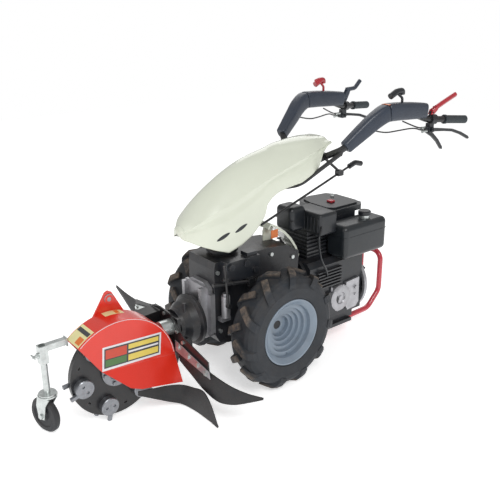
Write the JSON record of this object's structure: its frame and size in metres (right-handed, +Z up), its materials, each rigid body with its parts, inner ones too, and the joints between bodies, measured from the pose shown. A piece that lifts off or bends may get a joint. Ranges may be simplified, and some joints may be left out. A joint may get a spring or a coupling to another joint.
{
  "type": "walking tractor stump grinder",
  "caption": "Two-wheel walking tractor with reversible handlebars, a rear engine and a front-mounted stump grinding head carried on a swivelling height-set castor.",
  "frame": {"origin": "on the ground, midway between the two drive wheels and straight below their axle", "axes": "+Z up; -X towards the grinding head, +X towards the engine and handlebars; -Y towards the left wheel"},
  "size_m": [2.0579, 0.921, 1.1715],
  "materials": {
    "rim_paint": "satin grey-blue paint",
    "tyre_rubber": "matt tread rubber",
    "black_casting": "satin black paint over casting",
    "black_aluminium": "satin black painted die casting",
    "bare_aluminium": "bare die casting",
    "hood_red": "gloss red powder coat",
    "black_steel": "satin black paint",
    "zinc": "zinc plated",
    "tool_steel": "machined steel",
    "rubber": "matt sheet rubber",
    "castor_rubber": "black moulded tread",
    "cowl_cream": "gloss cream",
    "arm_plastic": "satin blue-grey plastic",
    "grip_rubber": "ribbed grip",
    "black_plastic": "satin black plastic",
    "red_plastic": "gloss red plastic",
    "tank_plastic": "satin moulded plastic",
    "bumper_red": "gloss red paint"
  },
  "bodies": {
    "chassis": {"gearbox_case": "black_casting", "selector_box": "black_aluminium", "linkage_rods": "black_steel", "drop_link": "bare_aluminium", "pto_flange": "bare_aluminium", "implement_bell": "black_casting", "drive_case": "black_steel", "mount_boss": "zinc", "grinder_hood": "hood_red", "hood_lug": "hood_red", "shield_plate": "black_steel", "clamp_strips": "zinc", "shield_bolts": "zinc", "rubber_wings": "rubber", "curtain_flap": "rubber", "support_arm": "zinc", "engine_flange": "black_aluminium", "engine_block": "black_aluminium", "cylinder": "black_aluminium", "muffler_box": "black_steel", "top_cover": "black_plastic", "fuel_tank": "tank_plastic", "recoil_housing": "bare_aluminium", "side_cover": "bare_aluminium", "engine_bumper": "bumper_red", "rear_guard": "cowl_cream", "chassis_bolts": "zinc"},
    "wheel_left": {"rim_left": "rim_paint", "tyre_left": "tyre_rubber", "wheel_bolts_left": "zinc"},
    "wheel_right": {"rim_right": "rim_paint", "tyre_right": "tyre_rubber", "wheel_bolts_right": "zinc"},
    "cutter": {"cutter_disc": "black_steel", "cutter_shaft": "tool_steel", "cutter_heads": "tool_steel", "cutter_teeth": "tool_steel", "cutter_bolts": "tool_steel"},
    "castor_lock": {"castor_screw": "zinc"},
    "castor_stem": {"castor_post": "zinc"},
    "castor_yoke": {"castor_fork": "zinc"},
    "castor_roller": {"castor_wheel": "castor_rubber"},
    "column": {"column_head": "black_casting"},
    "handlebars": {"handle_frame": "black_steel", "cowl": "cowl_cream", "handle_arms": "arm_plastic", "grips": "grip_rubber", "lever_clamps": "black_aluminium", "control_cables": "rubber"},
    "clutch": {"clutch_lever": "black_plastic"},
    "brake": {"brake_lever": "black_plastic"},
    "brake_right": {"brake_lever_right": "black_plastic"},
    "hook": {"hook_lever": "arm_plastic"},
    "safety": {"safety_lever": "red_plastic"},
    "knob_left": {"knob_lever_left": "black_plastic"},
    "knob_right": {"knob_lever_right": "red_plastic"},
    "gear_shift": {"gear_rod": "black_steel", "gear_knob": "black_plastic"},
    "cap": {"tank_cap": "black_plastic"},
    "starter": {"starter_grip": "black_plastic"}
  },
  "joints": [
    {"name": "wheel_left_spin", "type": "hinge", "parent": "chassis", "child": "wheel_left", "pos_m": [0, -0.23, 0.252], "axis": [0, 1, 0], "continuous": true},
    {"name": "wheel_right_spin", "type": "hinge", "parent": "chassis", "child": "wheel_right", "pos_m": [0, 0.23, 0.252], "axis": [0, 1, 0], "continuous": true},
    {"name": "cutter_spin", "type": "hinge", "parent": "chassis", "child": "cutter", "pos_m": [-0.65, 0, 0.2], "axis": [0, 1, 0], "continuous": true},
    {"name": "castor_lock_turn", "type": "hinge", "parent": "chassis", "child": "castor_lock", "pos_m": [-0.936, 0.046, 0.33], "axis": [1, 0, 0], "continuous": true},
    {"name": "castor_height", "type": "slide", "parent": "chassis", "child": "castor_stem", "axis": [0, 0, 1], "range_m": [-0.03, 0.05]},
    {"name": "castor_swivel", "type": "hinge", "parent": "castor_stem", "child": "castor_yoke", "pos_m": [-0.908, 0.046, 0.16], "axis": [0, 0, 1], "continuous": true},
    {"name": "castor_roll", "type": "hinge", "parent": "castor_yoke", "child": "castor_roller", "pos_m": [-0.91502, 0.06895, 0.071], "axis": [0.9563, 0.2924, 0], "continuous": true},
    {"name": "column_swivel", "type": "hinge", "parent": "chassis", "child": "column", "pos_m": [-0.13, 0, 0.56], "axis": [0, 0, 1], "range_deg": [0, 180]},
    {"name": "handlebar_tilt", "type": "hinge", "parent": "column", "child": "handlebars", "pos_m": [-0.13, 0, 0.69], "axis": [0, 1, 0], "range_deg": [-20, 5]},
    {"name": "clutch_squeeze", "type": "hinge", "parent": "handlebars", "child": "clutch", "pos_m": [0.8319, -0.2817, 0.976], "axis": [0, 1, 0], "range_deg": [-9, 0], "stiffness_Nm_per_rad": 8, "springref_deg": 8.59},
    {"name": "brake_squeeze", "type": "hinge", "parent": "handlebars", "child": "brake", "pos_m": [0.8319, -0.2467, 0.976], "axis": [0, 1, 0], "range_deg": [-14, 0], "stiffness_Nm_per_rad": 8, "springref_deg": 8.59},
    {"name": "brake_right_squeeze", "type": "hinge", "parent": "handlebars", "child": "brake_right", "pos_m": [0.8319, 0.2817, 0.976], "axis": [0, 1, 0], "range_deg": [-9, 0], "stiffness_Nm_per_rad": 8, "springref_deg": 8.59},
    {"name": "hook_lever_turn", "type": "hinge", "parent": "handlebars", "child": "hook", "pos_m": [0.8359, 0.2642, 1.05], "axis": [0, 1, 0], "range_deg": [-15, 8]},
    {"name": "safety_press", "type": "hinge", "parent": "handlebars", "child": "safety", "pos_m": [0.8359, -0.2642, 1.05], "axis": [0, 1, 0], "range_deg": [0, 12], "stiffness_Nm_per_rad": 6, "springref_deg": -11.46},
    {"name": "knob_left_swing", "type": "hinge", "parent": "handlebars", "child": "knob_left", "pos_m": [0.648, -0.249, 1.092], "axis": [0, 1, 0], "range_deg": [-12, 12]},
    {"name": "knob_right_swing", "type": "hinge", "parent": "handlebars", "child": "knob_right", "pos_m": [0.676, 0.249, 1.092], "axis": [0, 1, 0], "range_deg": [-12, 12]},
    {"name": "gear_slide", "type": "slide", "parent": "handlebars", "child": "gear_shift", "axis": [0.951, 0, 0.3091], "range_m": [-0.02, 0.02]},
    {"name": "cap_turn", "type": "hinge", "parent": "chassis", "child": "cap", "pos_m": [0.58, -0.134, 0.604], "axis": [0, 0, 1], "continuous": true},
    {"name": "starter_pull", "type": "slide", "parent": "chassis", "child": "starter", "axis": [0.5774, -0.5774, -0.5774], "range_m": [0, 0.2], "stiffness_N_per_m": 40, "springref_m": -0.15}
  ]
}
